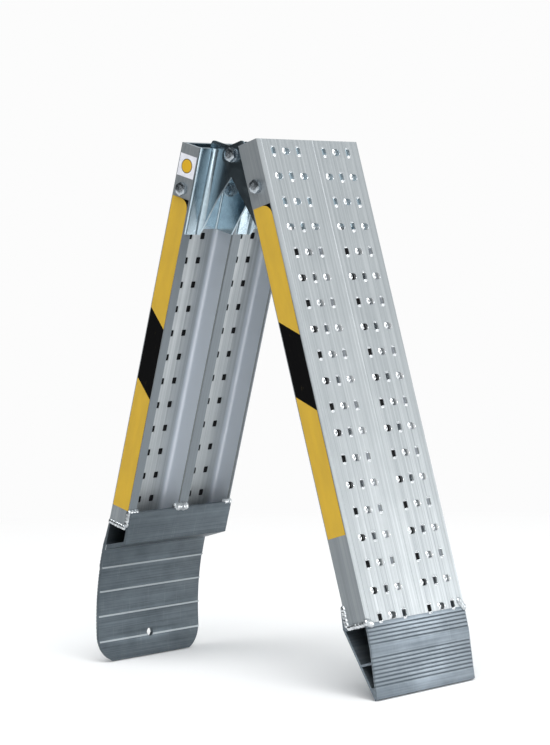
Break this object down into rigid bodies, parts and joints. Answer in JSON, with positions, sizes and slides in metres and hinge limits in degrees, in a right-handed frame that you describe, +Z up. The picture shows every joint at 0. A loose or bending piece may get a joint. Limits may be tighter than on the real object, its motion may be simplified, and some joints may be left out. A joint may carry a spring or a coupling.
{
  "type": "dog ramp",
  "caption": "Folding aluminium pet ramp standing as an inverted V: ribbed punched planks, galvanised hinge brackets, a curved hook tongue and a wedge foot.",
  "frame": {"origin": "on the floor under the middle of the standing ramp's bounding box", "axes": "+Z up as the ramp stands, +X from the hook half towards the foot half, Y across the ramp"},
  "size_m": [0.5228, 0.2228, 0.7422],
  "materials": {
    "ribbed_aluminium": "mill finish, ribbed and punched",
    "galvanised_steel": "galvanised sheet",
    "extruded_aluminium": "dull extruded",
    "weld_metal": "rippled weld bead",
    "hazard_film": "yellow and black printed film",
    "label_film": "white printed film",
    "zinc_plated_steel": "bright zinc plate"
  },
  "bodies": {
    "foot_half": {"foot_near_plank": "ribbed_aluminium", "foot_far_plank": "ribbed_aluminium", "foot_near_bracket": "galvanised_steel", "foot_far_bracket": "galvanised_steel", "foot_rail_bolts": "zinc_plated_steel", "foot_rail_nuts": "zinc_plated_steel", "pivot_bolts": "zinc_plated_steel", "pivot_washers": "zinc_plated_steel", "pivot_locknuts": "zinc_plated_steel", "wedge_foot": "extruded_aluminium", "foot_welds": "weld_metal", "foot_near_decal": "hazard_film", "foot_far_decal": "hazard_film"},
    "hook_half": {"hook_near_plank": "ribbed_aluminium", "hook_far_plank": "ribbed_aluminium", "hook_near_bracket": "galvanised_steel", "hook_far_bracket": "galvanised_steel", "hook_rail_bolts": "zinc_plated_steel", "hook_rail_nuts": "zinc_plated_steel", "hook_bolt_spacers": "zinc_plated_steel", "pivot_sleeves": "zinc_plated_steel", "hook_lip": "extruded_aluminium", "hook_welds": "weld_metal", "hook_near_decal": "hazard_film", "hook_far_decal": "hazard_film", "warning_label": "label_film"}
  },
  "joints": [
    {"name": "fold", "type": "hinge", "parent": "foot_half", "child": "hook_half", "pos_m": [-0.00484, 0, 0.72088], "axis": [0, 1, 0], "range_deg": [-32.2, 147.8]}
  ]
}
